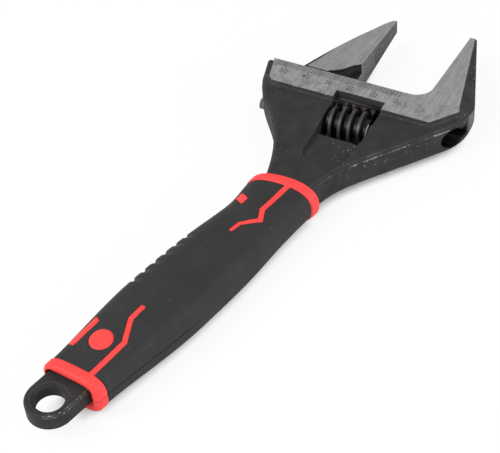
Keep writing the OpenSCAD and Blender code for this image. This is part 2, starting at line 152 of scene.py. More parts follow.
def lumps(node, space, size, detail=3, rough=0.55, stretch=(1, 1, 1)):
    # fractal pattern from 0 to 1 with lumps about size mm across, drawn out by stretch
    scale = tuple(1 / (size * s) for s in stretch)
    return node("TexNoise", node("Mapping", inputs={"Vector": space, "Scale": scale}), 1.0, detail, rough)


def specks(node, space, size, share):
    # scattered spots about size mm across, the peaks of a coarse pattern; share sets how many
    return node("smooth", lumps(node, space, size, 2, 0.5), 0.76 - share, 0.8 - share)


def distanceTo(node, space, point, keep):
    # distance in mm from a point, counted only along the kept directions
    return node("vectorLength", node("vectorTimes", node("vectorMinus", space, point), keep))


def everyPitch(node, value, first, pitch):
    # distance in mm to the nearest of the lines first, first + pitch, first + 2 pitches and on
    turns = node("plus", node("times", node("minus", value, first), 1 / pitch), 0.5)
    return node("times", node("absolute", node("minus", node("fraction", turns), 0.5)), pitch)


# materials

def rubbedEdges(node, space, u, v, z):
    # bare steel in patches. The side that slides over a bench is rubbed most, on its lower corner; the
    # ground edges a little all round; the hang end on its outer corner
    x, y, low = node("SeparateXYZ", space, pick=slice(3))
    corner = node("times", node("smooth", z, 5.6, 5.3), node("smooth", z, 0, 2))
    side = node("times", corner, node("times", node("smooth", u, -30, -12), node("smooth", v, -6, -12)))
    ground = node("times", node("smooth", z, 7.0, 7.3), 0.75)
    rim = node("smooth", distanceTo(node, space, (0, 0, 0), (1, 1, 0)), 7.4, 7.7)
    tail = node("times", node("smooth", y, 3, -5), node("smooth", x, 9, -4, 0.55, 1))
    tail = node("times", node("times", tail, rim), node("smooth", low, 0, 2))
    rubbed = node("maximum", node("maximum", side, ground), tail)
    level = node("timesPlus", rubbed, 0.2, -0.2)
    clumps = node("times", lumps(node, space, 7, 2), 0.36)
    patches = node("plus", node("minus", lumps(node, space, 0.8, 5, 0.8), 0.17), clumps)
    return node("smooth", node("plus", patches, level), 0.53, 0.62)


def blackForging(name, worn, dark="#252525", light="#313131"):
    # drop forged steel, shot blasted and phosphated: dull black with a fine grain and a few nicks
    mat, node = newMaterial(name)
    space = mmSpace(node)
    inHead = mmSpace(node, True)
    mottle = lumps(node, space, 7, 6, 0.65)
    colour = node("mix", node("MapRange", mottle, 0.3, 0.7), dark, light)
    grain = lumps(node, space, 0.55, 4, 0.65)
    u, v, z = node("SeparateXYZ", inHead, pick=slice(3))
    # nicks gather on the right-hand side wall, with a few on the left shoulder and fewer elsewhere
    wall = node("times", node("smooth", u, -40, -14), node("smooth", z, 5.2, 4.6))
    wall = node("times", wall, node("smooth", z, -3, 2))
    shoulder = node("times", node("smooth", u, -42, -58, 0, 0.65), node("smooth", v, -48, -30))
    struck = node("times", node("maximum", wall, shoulder), 0.07)
    nicks = node("smooth", node("plus", lumps(node, space, 0.8, 3, 0.6), struck), 0.715, 0.76)
    if worn:
        nicks = node("maximum", rubbedEdges(node, space, u, v, z), nicks)
    colour = node("mix", nicks, colour, "#a9a69c")
    # painted shade: the rack's bore and its slot, where no light reaches, are painted near black
    fromBore = distanceTo(node, inHead, (0, head["boreAt"], 0), (0, 1, 1))
    bore = node("smooth", fromBore, head["boreRadius"] + 0.2, head["boreRadius"] + 0.02)
    slot = node("smooth", node("absolute", z), head["slotHalf"] + 0.1, head["slotHalf"] + 0.02)
    slot = node("times", slot, node("smooth", v, -12, -10))
    slot = node("times", slot, node("smooth", v, head["slotTop"], head["slotTop"] - 0.15))
    hidden = node("times", node("maximum", bore, slot), node("smooth", u, -14.5, -14))
    colour = node("mix", hidden, colour, "#050505")
    bumps = node("Bump", inputs={"Distance": 0.05 * mm, "Height": grain})
    node("OutputMaterial", node("BsdfPrincipled", inputs={
        "Base Color": colour, "Metallic": node("times", nicks, 0.5), "Specular IOR Level": 0.22,
        "Roughness": node("smooth", mottle, 0.3, 0.7, 0.7, 0.58), "Normal": bumps}))
    return mat


def groundSteel(name, light, dark, streaks=0.42, uneven=1.0, tipShade=0.0):
    # surface ground steel: lines run along v, drawn coarser than the 0.1 mm grit so that they show,
    # with grime between them and darker stains where hands and chips have been
    mat, node = newMaterial(name)
    space = mmSpace(node, True)
    u, v, z = node("SeparateXYZ", space, pick=slice(3))
    lines = node("times", lumps(node, space, 0.4, 3, 0.75, (1, 30, 30)), streaks)
    long = node("times", lumps(node, space, 1.1, 4, 0.6, (1, 18, 18)), 0.6 - streaks)
    grit = node("times", lumps(node, space, 0.5, 3, 0.65), 0.4)
    grain = node("plus", node("plus", lines, long), grit)
    colour = node("mix", node("MapRange", grain, 0.36, 0.62), dark, light)
    # the strip is handled and holds more grime than the jaws
    onStrip = node("smooth", node("smooth", v, 3, -3), 0, 1, 0.22 * uneven, 0.55)
    grime = node("times", node("smooth", lumps(node, space, 4.5, 5, 0.7), 0.42, 0.7), onStrip)
    colour = node("mix", grime, colour, "#565453")
    pits = node("times", specks(node, space, 0.6, 0.04), 0.7)
    colour = node("mix", pits, colour, "#3c3936")
    # oil and rust, and a painted shadow, darken the gap where the sliding jaw meets the rail
    gap = node("times", node("smooth", v, 0.75, 0.45), node("smooth", v, 0.02, 0.06))
    gap = node("times", gap, node("smooth", u, head["jawFace"] + 0.1, head["jawFace"]))
    colour = node("mix", gap, colour, "#1f1614")
    # the movable jaw's back corner is still black low down, in a band that narrows to nothing
    fromMiddle = distanceTo(node, space, (backArc["u"], backArc["v"], 0), (1, 1, 0))
    past = node("plus", node("minus", fromMiddle, backArc["radius"]), node("smooth", v, 4, 27, 1.25, 0))
    black = node("times", node("smooth", past, -0.15, 0.15), node("smooth", v, 0.3, 0.6))
    black = node("times", black, node("smooth", u, -36, -38))
    colour = node("mix", black, colour, "#2a2928")
    # its gripping face is stained darker towards the tip
    stain = node("plus", lumps(node, space, 2.2, 4, 0.7), node("smooth", v, 8, 36, -0.1, 0.2))
    colour = node("mix", node("smooth", stain, 0.4, 0.7, 0, tipShade), colour, "#3b3a3a")
    bumps = node("Bump", inputs={"Distance": 0.012 * mm, "Height": grain})
    node("OutputMaterial", node("BsdfPrincipled", inputs={
        "Base Color": colour, "Metallic": 0.4, "Specular IOR Level": 0.4,
        "Roughness": node("smooth", grain, 0.35, 0.65, 0.62, 0.5), "Normal": bumps}))
    return mat


def edgeSteel(name, faceAt):
    # corners of the movable jaw: bare beside the gripping face, still black along the back
    mat, node = newMaterial(name)
    space = mmSpace(node, True)
    u, v, z = node("SeparateXYZ", space, pick=slice(3))
    rub = lumps(node, space, 1.2, 4, 0.7)
    front = node("times", node("smooth", u, faceAt - 2.4, faceAt - 1.2), node("smooth", rub, 0.3, 0.55))
    bumps = node("Bump", inputs={"Distance": 0.02 * mm, "Height": rub})
    node("OutputMaterial", node("BsdfPrincipled", inputs={
        "Base Color": node("mix", front, "#262524", "#a5a3a0"), "Metallic": 0.3, "Roughness": 0.5,
        "Normal": bumps}))
    return mat


def oiledSteel(name, block, gap, rod):
    # machined teeth under a thin coat of old oil, brown on the teeth with darker patches of oil; painted shade,
    # near black, between the teeth, along their root and at the end inside the bore
    mat, node = newMaterial(name)
    space = mmSpace(node, True)
    u, v, z = node("SeparateXYZ", space, pick=slice(3))
    film = lumps(node, space, 1.6, 5, 0.65)
    cuts = lumps(node, space, 0.16, 2, 0.5, (1, 1, 30))
    tooth = node("mix", node("smooth", film, 0.35, 0.65), gap, block)
    # painted shade between the teeth
    fromGap = everyPitch(node, u, rack["gapAt"], rack["pitch"])
    tooth = node("mix", node("smooth", fromGap, 0.95, 1.2), gap, tooth)
    # painted shadow along the root of the teeth, under the wall
    seam = node("smooth", node("absolute", node("minus", v, rack["teethTo"] + 0.1)), 0.18, 0.3)
    plain = node("mix", seam, gap, rod)
    colour = node("mix", node("smooth", v, rack["teethTo"] - 0.2, rack["teethTo"]), tooth, plain)
    # painted shade at the end of the rack, inside the bore
    end = node("smooth", u, rack["endAt"] - 1.2, rack["endAt"] - 0.4)
    bumps = node("Bump", inputs={"Distance": 0.01 * mm, "Height": cuts})
    node("OutputMaterial", node("BsdfPrincipled", inputs={
        "Base Color": node("mix", end, colour, "#050505"), "Metallic": 0.2, "Specular IOR Level": 0.3,
        "Roughness": node("smooth", film, 0.3, 0.7, 0.6, 0.45), "Normal": bumps}))
    return mat


def wormSteel(name, endAt):
    # turned and black oxidised thread, polished a little along its crests and on the end that the spring
    # rubs bare, both lightened further as painted highlight, and painted near black as shade at its root
    mat, node = newMaterial(name)
    space = mmSpace(node, True)
    u, v, z = node("SeparateXYZ", space, pick=slice(3))
    turned = lumps(node, space, 0.14, 2, 0.5, (1, 9, 9))
    film = lumps(node, space, 2.0, 5, 0.65)
    radius = distanceTo(node, space, (0, wormV, 0), (0, 1, 1))
    colour = node("mix", node("MapRange", film, 0.35, 0.7), "#1d1d1d", "#2c2c2c")
    # painted shade: the thread's root is painted near black
    colour = node("mix", node("smooth", radius, worm["root"] + 0.1, worm["crest"] - 0.6), "#080808", colour)
    # the crests are polished a little and lightened further as a painted highlight
    polish = node("times", node("smooth", radius, worm["crest"] - 0.2, worm["crest"] - 0.02), 0.55)
    colour = node("mix", polish, colour, "#474747")
    # the end rubbed bare by the spring, painted near white as a highlight only on its lower side
    rim = node("smooth", radius, worm["pocket"] + 0.5, worm["pocket"] + 0.8)
    rim = node("times", node("smooth", u, endAt - 0.32, endAt - 0.16), rim)
    bare = node("times", rim, node("smooth", v, wormV - 0.5, wormV - 1.6))
    bare = node("times", bare, node("smooth", film, 0.3, 0.45))
    bumps = node("Bump", inputs={"Distance": 0.01 * mm, "Height": turned})
    node("OutputMaterial", node("BsdfPrincipled", inputs={
        "Base Color": node("mix", bare, colour, "#fff6dc"), "Metallic": 0.2, "Specular IOR Level": 0.4,
        "Roughness": node("smooth", film, 0.3, 0.7, 0.5, 0.38), "Normal": bumps}))
    return mat


def springWire(name):
    # drawn wire, bright, with draw lines too fine to see as more than a soft sheen
    mat, node = newMaterial(name)
    draw = lumps(node, mmSpace(node, True), 0.2, 3, 0.6)
    node("OutputMaterial", node("BsdfPrincipled", inputs={
        "Base Color": node("mix", node("MapRange", draw, 0.3, 0.7), "#a8a089", "#d8d2bd"),
        "Metallic": 0.85, "Roughness": node("smooth", draw, 0.3, 0.7, 0.38, 0.26)}))
    return mat


def mouldedPlastic(name, light, dark, grainDepth, rough, dust, line):
    # injection moulded: a fine spark eroded grain, slow changes of shade, dust, and a dark line
    # where the two halves of the mould met
    mat, node = newMaterial(name)
    space = mmSpace(node)
    x, y, z = node("SeparateXYZ", space, pick=slice(3))
    grain = lumps(node, space, 0.35, 3, 0.6)
    colour = node("mix", node("MapRange", lumps(node, space, 12, 5, 0.6), 0.3, 0.7), dark, light)
    motes = node("times", specks(node, space, 0.7, 0.02), dust)
    colour = node("mix", motes, colour, "#a9a6a2")
    seam = node("smooth", node("absolute", z), *parting["dark"])
    seam = node("times", seam, node("smooth", x, parting["from"] + parting["fade"], parting["from"]))
    bumps = node("Bump", inputs={"Distance": grainDepth * mm, "Height": grain})
    node("OutputMaterial", node("BsdfPrincipled", inputs={
        "Base Color": node("mix", seam, colour, line), "Specular IOR Level": 0.25,
        "Roughness": node("smooth", grain, 0.3, 0.7, rough + 0.05, rough - 0.05), "Normal": bumps}))
    return mat


def scaleInk(name, dark, light):
    # the floors of the engraved lines, dark with grime
    mat, node = newMaterial(name)
    grime = lumps(node, mmSpace(node, True), 2.5, 4, 0.65)
    node("OutputMaterial", node("BsdfPrincipled", inputs={
        "Base Color": node("mix", node("MapRange", grime, 0.35, 0.62), dark, light),
        "Roughness": 0.7, "Specular IOR Level": 0.2}))
    return mat


forging = blackForging("phosphatedForging", False)
# bevelled edges of the body: a lighter copy of the forging as a painted highlight along the rounded edges, with
# patches rubbed to bare steel by wear
wornAndHighlitForging = blackForging("edgeForgingWornAndHighlit", True, "#2c2c2c", "#3a3a3a")
# the fixed jaw's outer side wall: a lighter copy of the forging
lighterSideForging = blackForging("lighterOuterSideForging", False, "#4c4c4c", "#646464")
# the upper wall of the worm's window: a lighter copy of the forging, painted light on a wall that lies in shade
paintedLightWallForging = blackForging("windowWallPaintedLight", False, "#3a3a3a", "#4c4c4c")
# the movable jaw's black faces and its relief notch: a darker copy of the forging, painted shade
jawPaintedShadeForging = blackForging("phosphatedJawPaintedShade", False, "#141414", "#202020")
pinForging = blackForging("phosphatedPin", False, "#505050", "#666666")
stripSteel = groundSteel("groundSteel", "#aaaaaa", "#7c7c7c")
jawSteel = groundSteel("groundJaw", "#a5a5a5", "#757575")
faceSteel = groundSteel("jawFaceSteel", "#878686", "#4a494a", 0.2, 2.0, 0.8)
jawEdge = edgeSteel("jawCornerSteel", head["jawFace"])
rackSteel = oiledSteel("oiledRack", "#6a5d5b", "#0a0909", "#444444")
print("materials made")


# meshes

# welding distance in mm, and the angles in degrees below which a face is flat and above which an
# edge is a corner
weld = {"reach": 0.002, "flat": 0.3, "corner": 24}


def placePiece(name, mesh, body, slot, *mats):
    piece = bpy.data.objects.new(name, mesh)
    bpy.context.scene.collection.objects.link(piece)
    for mat in mats:
        mesh.materials.append(mat)
    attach(piece, body)
    return piece


def ringMesh(name, rings, loop=False):
    # closed rings of points joined one to the next; the first and last close in pole points,
    # or on each other where loop is set. Faces are turned outwards by the sign of the volume.
    rows, cols = rings.shape[:2]
    points = rings.reshape(-1, 3)
    r = np.arange(rows if loop else rows - 1)[:, None]
    c = np.arange(cols)[None, :]
    here, there = r * cols, ((r + 1) % rows) * cols
    after = (c + 1) % cols
    quads = np.stack([here + c, here + after, there + after, there + c], -1).reshape(-1, 4)
    a, b, d, e = (points[quads[:, i]] for i in range(4))
    volume = np.einsum("ij,ij->", a, np.cross(b, d)) + np.einsum("ij,ij->", a, np.cross(d, e))
    faces = quads.tolist()
    if not loop:
        first, last = len(points), len(points) + 1
        points = np.vstack([points, rings[0].mean(0), rings[-1].mean(0)])
        faces += [[first, (i + 1) % cols, i] for i in range(cols)]
        base = (rows - 1) * cols
        faces += [[last, base + i, base + (i + 1) % cols] for i in range(cols)]
    if volume < 0:
        faces = [face[::-1] for face in faces]
    mesh = bpy.data.meshes.new(name)
    mesh.from_pydata((points * mm).tolist(), [], faces)
    mesh.polygons.foreach_set("use_smooth", [True] * len(mesh.polygons))
    return mesh


def weldedCopy(node, name, slotOf, weightOf, moveOf=None):
    # the CAD mesh is loose triangles: its copy is welded, its flat faces are made whole, each face
    # gets a material slot and each edge a bevel weight from where it lies in the head, and corners
    # may be moved a little
    mesh = bpy.data.meshes.new(name)
    bm = bmesh.new()
    bm.from_mesh(frame["nodes"][node].data)
    bmesh.ops.remove_doubles(bm, verts=bm.verts, dist=weld["reach"] * mm)
    bmesh.ops.dissolve_limit(bm, angle_limit=radians(weld["flat"]), verts=bm.verts, edges=bm.edges)
    toHead = Matrix((railDir, tipDir, upDir))
    for vert in bm.verts if moveOf else []:
        vert.co += toHead.transposed() @ moveOf(toHead @ (vert.co / mm - Vector(throat))) * mm
    bm.normal_update()
    for face in bm.faces:
        where = toHead @ (face.calc_center_median() / mm - Vector(throat))
        face.material_index = slotOf(where, toHead @ face.normal)
        face.smooth = True
    weights = bm.edges.layers.float.new("bevel_weight_edge")
    for edge in bm.edges:
        if len(edge.link_faces) == 2 and edge.calc_face_angle() > radians(weld["corner"]):
            where = toHead @ ((edge.verts[0].co + edge.verts[1].co) / 2 / mm - Vector(throat))
            edge[weights] = weightOf(where, [face.material_index for face in edge.link_faces])
    bm.to_mesh(mesh)
    bm.free()
    return mesh


def soften(piece, width, edgeSlot):
    bevel = piece.modifiers.new("softEdges", "BEVEL")
    bevel.width = width * mm
    bevel.segments = 2
    bevel.limit_method = "WEIGHT"
    bevel.use_clamp_overlap = False
    bevel.miter_outer = "MITER_ARC"
    bevel.material = edgeSlot
    normals = piece.modifiers.new("evenNormals", "WEIGHTED_NORMAL")
    normals.keep_sharp = True
    normals.weight = 80


def onTaper(z, v, reach):
    # on the flat side of a jaw, which gets thinner towards its tip
    return abs(abs(z) - (head["halfThick"] - head["taper"] * v)) < reach


# wrench body: black forging with a ground strip and fixed jaw

# slots of its materials; then how squarely the faces of each zone look its way, how far from its
# surface they may lie, the width of the bevel and how far the head and the neck reach back
bodyLook = {"black": 0, "ground": 1, "edge": 2, "outerSide": 3, "windowWall": 4}
bodyZone = {"flat": 0.985, "upright": 0.2, "rail": 0.3, "jawFace": 0.6, "side": 0.85, "wall": 0.9,
            "onStrip": 0.2, "onSide": 0.5, "onWall": 0.4, "edgeWidth": 0.45, "headTo": -66, "neckTo": -150}


def bodySlot(where, normal):
    u, v, z = where
    flat = abs(normal.z) > bodyZone["flat"]
    if flat and abs(z) > head["halfThick"] - bodyZone["onStrip"] and v < 1:
        return bodyLook["ground"]
    if flat and v > 0 and onTaper(z, v, bodyZone["onSide"]):
        return bodyLook["ground"]
    # the rail and the fixed jaw's gripping face
    facing = normal.x < -bodyZone["jawFace"] or normal.y > bodyZone["rail"]
    if facing and abs(normal.z) < bodyZone["upright"] and v > -0.1 and u < 0.2:
        return bodyLook["ground"]
    # the fixed jaw's outer side wall takes the lighter copy of the forging
    if normal.x > bodyZone["side"] and v > -2 and u > 3:
        return bodyLook["outerSide"]
    # the upper wall of the worm's window takes the lighter copy of the forging, painted light
    onWall = normal.y < -bodyZone["wall"] and abs(v - head["windowTop"]) < bodyZone["onWall"]
    return bodyLook["windowWall" if onWall and head["window"][0] < u < head["window"][1] else "black"]


def bodyWeight(where, slots):
    # the rack runs close in its bore and slot, so their edges stay as cut
    fromBore = (where.y - head["boreAt"]) ** 2 + where.z ** 2
    inSlot = abs(where.z) < head["slotHalf"] + 0.35 and where.y > head["slotEnd"]
    if fromBore < (head["boreRadius"] + 0.6) ** 2 or inSlot:
        return 0.0
    if bodyLook["ground"] in slots:
        return 0.3
    # inner edges of the head, and all edges of the tang
    if (abs(where.z) < 5.3 and where.y > bodyZone["headTo"]) or where.y < bodyZone["neckTo"]:
        return 0.6
    return 1.0 if min(where.x, where.y) < -1 else 0.3


body = placePiece("wrenchBody", weldedCopy("wrench_body", "wrenchBody", bodySlot, bodyWeight), "wrench",
                  "forged_steel", forging, stripSteel, wornAndHighlitForging, lighterSideForging, paintedLightWallForging)
soften(body, bodyZone["edgeWidth"], bodyLook["edge"])
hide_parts("wrench_body")
print("body made")


# movable jaw: ground faces, dark back, relief notch and rack

# the jaw's black slot takes the darker copy of the forging, painted shade for its notch
jawLook = {"black": 0, "ground": 1, "rack": 2, "face": 3, "edge": 4}
jawZone = {"flat": 0.985, "front": 0.95, "onSide": 0.4, "foot": 0.1, "notchHalf": 2.5, "notchTo": 48,
           "backAt": -36, "wideTo": 24, "edgeWidth": 0.45}
# the tip: where its back starts to bulge, over how long and how far, and how far its corners move
jawTip = {"start": 38, "end": 48.5, "faceAt": -33.5, "bulge": 0.3, "over": 5, "faceDown": 0.7,
          "backDown": 1.5, "backOut": 0.8}


def jawSlot(where, normal):
    u, v, z = where
    if v < jawZone["foot"]:
        return jawLook["rack"]
    if abs(normal.z) > jawZone["flat"] and onTaper(z, v, jawZone["onSide"]):
        return jawLook["ground"]
    return jawLook["face" if normal.x > jawZone["front"] else "black"]


def jawWeight(where, slots):
    inNotch = abs(where.z) < jawZone["notchHalf"]
    if inNotch and where.y > jawZone["notchTo"]:
        return 0.35
    if inNotch or where.y < 0.5:
        return 0.0
    # the lower back has a wide black corner that narrows to the tip
    return 0.35 if where.x > jawZone["backAt"] or where.y > jawZone["wideTo"] else 0.8


def jawMove(where):
    # the back bulges a little near the tip and turns over at its end
    u, v, z = where
    onFace = u > jawTip["faceAt"]
    if v < jawTip["start"] or (onFace and v < jawTip["end"]):
        return Vector((0, 0, 0))
    if v < jawTip["end"]:
        return Vector((-jawTip["bulge"] * min((v - jawTip["start"]) / jawTip["over"], 1), 0, 0))
    out, down = (0, jawTip["faceDown"]) if onFace else (jawTip["backOut"], jawTip["backDown"])
    return Vector((-out, -down, head["taper"] * down * (1 if z > 0 else -1)))


jaw = placePiece("movingJaw", weldedCopy("movable_jaw", "movingJaw", jawSlot, jawWeight, jawMove), "jaw",
                 "ground_steel", jawPaintedShadeForging, jawSteel, rackSteel, faceSteel, jawEdge)
soften(jaw, jawZone["edgeWidth"], jawLook["edge"])
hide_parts("movable_jaw")
print("jaw made")


# millimetre scale on the strip: lines and figures with dark floors

scale = {"zero": -10.5, "count": 55, "top": -0.45, "width": 0.3, "short": 3.3, "middle": 4.0, "long": 4.9,
         "figureRow": -7.6, "figureHigh": 2.7, "fontRatio": 1.35, "fatter": 0.02, "weld": 0.003,
         "proud": 0.012, "sunk": 0.05}


def scaleLines():
    # one flat bar for each mm, every fifth longer and every tenth longest, as closed boxes
    index = np.arange(scale["count"] + 1)
    short = np.where(index % 5 == 0, scale["middle"], scale["short"])
    length = np.where(index % 10 == 0, scale["long"], short)
    u = scale["zero"] - index
    corner = np.array([[-1, 0, 0], [1, 0, 0], [1, 1, 0], [-1, 1, 0],
                       [-1, 0, 1], [1, 0, 1], [1, 1, 1], [-1, 1, 1]])
    uu = u[:, None] + corner[None, :, 0] * scale["width"] / 2
    vv = scale["top"] - (1 - corner[None, :, 1]) * length[:, None]
    zz = head["halfThick"] - scale["sunk"] + corner[None, :, 2] * (scale["sunk"] + scale["proud"]) + 0 * uu
    points = headPoint(uu, vv, zz).reshape(-1, 3)
    sides = np.array([[0, 3, 2, 1], [4, 5, 6, 7], [0, 1, 5, 4], [1, 2, 6, 5], [2, 3, 7, 6], [3, 0, 4, 7]])
    faces = (sides[None] + 8 * index[:, None, None]).reshape(-1, 4)
    mesh = bpy.data.meshes.new("scaleLines")
    mesh.from_pydata((points * mm).tolist(), [], faces.tolist())
    return mesh


def figureMesh(text, u):
    # letters of the built-in font, as closed solids centred at u on the strip
    curve = bpy.data.curves.new("figure" + text, "FONT")
    curve.body = text
    curve.size = scale["figureHigh"] * scale["fontRatio"] * mm
    curve.align_x = "CENTER"
    curve.offset = scale["fatter"] * mm
    curve.extrude = 0.5 * (scale["sunk"] + scale["proud"]) * mm
    holder = bpy.data.objects.new("figure" + text, curve)
    bpy.context.scene.collection.objects.link(holder)
    bpy.context.view_layer.update()
    shape = holder.evaluated_get(bpy.context.evaluated_depsgraph_get())
    mesh = bpy.data.meshes.new_from_object(shape)
    bpy.data.objects.remove(holder)
    bpy.data.curves.remove(curve)
    bm = bmesh.new()
    bm.from_mesh(mesh)
    bmesh.ops.remove_doubles(bm, verts=bm.verts, dist=scale["weld"] * mm)
    bmesh.ops.recalc_face_normals(bm, faces=bm.faces)
    bm.to_mesh(mesh)
    bm.free()
    place = headPoint(u, scale["figureRow"], head["halfThick"] + 0.5 * (scale["proud"] - scale["sunk"]))
    mesh.transform(Matrix.Translation(Vector(place) * mm) @ Matrix.Rotation(railTurn, 4, "Z"))
    return mesh


lineInk = scaleInk("lineGrime", "#2c2a2a", "#4b4746")
figureInk = scaleInk("figureGrime", "#454241", "#625755")
placePiece("scaleLines", scaleLines(), "wrench", "ground_steel", lineInk)
for tens in range(6):
    text = str(10 * tens)
    figure = figureMesh(text, scale["zero"] - 10 * tens)
    placePiece("figure" + text, figure, "wrench", "ground_steel", figureInk)
print("scale made")


# worm: right-hand thread on a hollow core

worm = {"half": 9.1, "crest": 7.8, "root": 5.2, "bore": 2.1, "pocket": 3.8, "pocketDeep": 4.4,
        "plain": 1.3, "toothHalf": 1.14, "flank": 0.62, "endRound": 0.3, "pocketRound": 0.2, "boreRound": 0.1,
        "cols": 96, "rows": 260}


def wormRings():
    # radius(u, angle) = root + depth * run out * soft step of the distance to the nearest crest,
    # where the crest lies at first crest + pitch * angle / one turn + whole pitches
    half, pitch, root = worm["half"], rack["pitch"], worm["root"]
    angle = np.linspace(0, 2 * pi, worm["cols"], endpoint=False)[None, :]
    u = np.linspace(-half + worm["endRound"], half - worm["endRound"], worm["rows"])[:, None]
    turns = np.round((u - rack["firstCrest"]) / pitch - angle / (2 * pi)) + angle / (2 * pi)
    crest = rack["firstCrest"] + pitch * turns
    reach = np.clip((worm["toothHalf"] - np.abs(u - crest)) / worm["flank"], 0, 1)
    runOut = np.clip((half - worm["plain"] - np.abs(crest)) / (pitch / 3), 0, 1)
    radius = root + (worm["crest"] - root) * runOut * reach ** 2 * (3 - 2 * reach)
    # the ends, the spring's pocket and the bore, from the near end back to the far end
    deepest, pocket, bore = half - worm["pocketDeep"], worm["pocket"], worm["bore"]
    edge, lip = worm["boreRound"], worm["pocketRound"]
    back = np.array([(half, root - worm["endRound"]), (half, pocket + lip), (half - lip, pocket),
                     (deepest, pocket), (deepest, bore + edge), (deepest - edge, bore),
                     (edge - half, bore), (-half, bore + edge), (-half, root - worm["endRound"])])
    allU = np.vstack([u + 0 * angle, back[:, :1] + 0 * angle])
    allR = np.vstack([radius, back[:, 1:] + 0 * angle])
    return (wormMiddle + allU[..., None] * railDir + (allR * np.cos(angle))[..., None] * tipDir
            + (allR * np.sin(angle))[..., None] * upDir)


thread = placePiece("wormThread", ringMesh("wormThread", wormRings(), True), "worm", "worm_steel",
                    wormSteel("wormSteel", wormU + worm["half"]))
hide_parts("adjusting_worm")

spring = {"radius": 2.95, "wire": 0.9, "turns": 4.0, "steps": 220, "sides": 14, "gap": 0.05,
          "toWall": 1.6, "closer": 0.05}


def springRings():
    # helix from the pocket's floor to the wall of the window; the last half turn at each end lies
    # closer, and the wire narrows to a rounded tip
    t = np.linspace(0, 1, spring["steps"])
    start = worm["half"] - worm["pocketDeep"] + spring["wire"] / 2 + spring["gap"]
    end = worm["half"] + spring["toWall"] - spring["wire"] / 2 - spring["gap"]
    u = start + (end - start) * (t - spring["closer"] * np.sin(2 * pi * t))
    angle = 2 * pi * spring["turns"] * t
    out = np.cos(angle)[:, None] * tipDir + np.sin(angle)[:, None] * upDir
    centre = wormMiddle + u[:, None] * railDir + spring["radius"] * out
    # five steps at each end make the tip
    fromEnd = np.minimum(t, 1 - t) * spring["steps"] / 5
    thick = spring["wire"] / 2 * np.sqrt(np.clip(1 - (1 - np.clip(fromEnd, 0, 1)) ** 2, 0.02, 1))
    side = np.linspace(0, 2 * pi, spring["sides"], endpoint=False)
    across = np.cos(side)[None, :, None] * out[:, None, :] + np.sin(side)[None, :, None] * railDir
    return centre[:, None, :] + thick[:, None, None] * across


coil = placePiece("wormSpring", ringMesh("wormSpring", springRings()), "wrench", "spring_wire",
                  springWire("springWire"))
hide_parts("worm_spring")
frame["nodes"]["worm_pin"].data.materials[0] = pinForging
print("worm, spring and pin made")


# grip: a red shell with a black sleeve moulded over it, on one swelling surface

grip = {"start": 8.6, "end": 127.5, "sleeveStart": 13.2, "sleeveEnd": 123.0, "belly": 59.7, "waist": 110.7,
        "halfWide": (11.8, 15, 12.9, 13.7), "halfThick": (7.8, 10.2, 9, 9.5), "round": (0.58, 0.85),
        "slant": (6.6, 14), "aside": 1.15, "proud": 0.3, "cols": 240, "rows": 276, "under": 1.0,
        "lap": 0.15, "step": 0.45, "groove": 0.24}
fingers = {"first": 55.2, "pitch": 5.6, "count": 6, "half": 1.6, "deep": 0.66, "wrap": 64, "fade": 22}
parting = {"deep": 0.35, "half": 0.4, "from": 50, "fade": 16, "dark": (0.34, 0.16)}
# the opening round the tang, from its floor to its lip: depth, half width and half thickness
tail = {"rim": 1.5, "round": 0.32, "edgeDeep": 0.02, "edgeIn": 0.15,
        "opening": [(3.0, 6, 2.2), (2.9, 8.2, 3), (2.7, 9.1, 3.8), (1.5, 9.5, 4.3),
                    (0.7, 9.8, 4.75), (0.35, 10.05, 5.05), (0.12, 10.35, 5.4)]}
nose = {"rim": 1.0, "faceBack": 0.5, "faceIn": 5.5, "neckBack": 0.9, "neckIn": 7.5}


def ease(t, power):
    # half a wave from 0 to 1: (1 - cos(pi * t^power)) / 2
    return (1 - np.cos(pi * np.clip(t, 0, 1) ** power)) / 2


def along(x, sizes):
    # a size along the grip: it eases from the tail to the belly, on to the waist and on to the front
    tailEnd, belly, waist, front = sizes
    start, middle, neck, end = grip["start"], grip["belly"], grip["waist"], grip["end"]
    rise = tailEnd + (belly - tailEnd) * ease((x - start) / (middle - start), 0.9)
    fall = belly + (waist - belly) * ease((x - middle) / (neck - middle), 1.8)
    flare = waist + (front - waist) * ease((x - neck) / (end - neck), 1)
    return np.where(x < middle, rise, np.where(x < neck, fall, flare))


def shareOf(x):
    # 0 at the tail end of the grip, 1 at its head end
    return np.clip((x - grip["start"]) / (grip["end"] - grip["start"]), 0, 1)


def aside(x):
    # where the middle of a section lies across the grip: constant, then easing to 0 from the waist on
    return -grip["aside"] * (1 - ease((x - grip["waist"] + 3) / (grip["end"] - grip["waist"]), 1))


def slantAt(x):
    # slope of a section across the grip: the tan of an angle that grows evenly towards the head
    return np.tan(np.radians(grip["slant"][0] + (grip["slant"][1] - grip["slant"][0]) * shareOf(x)))


def powerAt(x):
    # power of a section's superellipse, which grows evenly towards the head
    return grip["round"][0] + (grip["round"][1] - grip["round"][0]) * shareOf(x)


def roundness(turn, p):
    # superellipse factor: (|cos|^(2/p) + |sin|^(2/p))^(-p/2)
    return (np.abs(np.cos(turn)) ** (2 / p) + np.abs(np.sin(turn)) ** (2 / p)) ** (-p / 2)


def gripSurface(x, turn, cut):
    # each section is a superellipse: (cos, sin) of the turn times its factor, then times the half
    # width and half thickness less the cut
    k = roundness(turn, powerAt(x))
    y = (along(x, grip["halfWide"]) - cut) * k * np.cos(turn)
    z = (along(x, grip["halfThick"]) - cut) * k * np.sin(turn)
    return np.stack([x - y * slantAt(x), y + aside(x), z], -1)


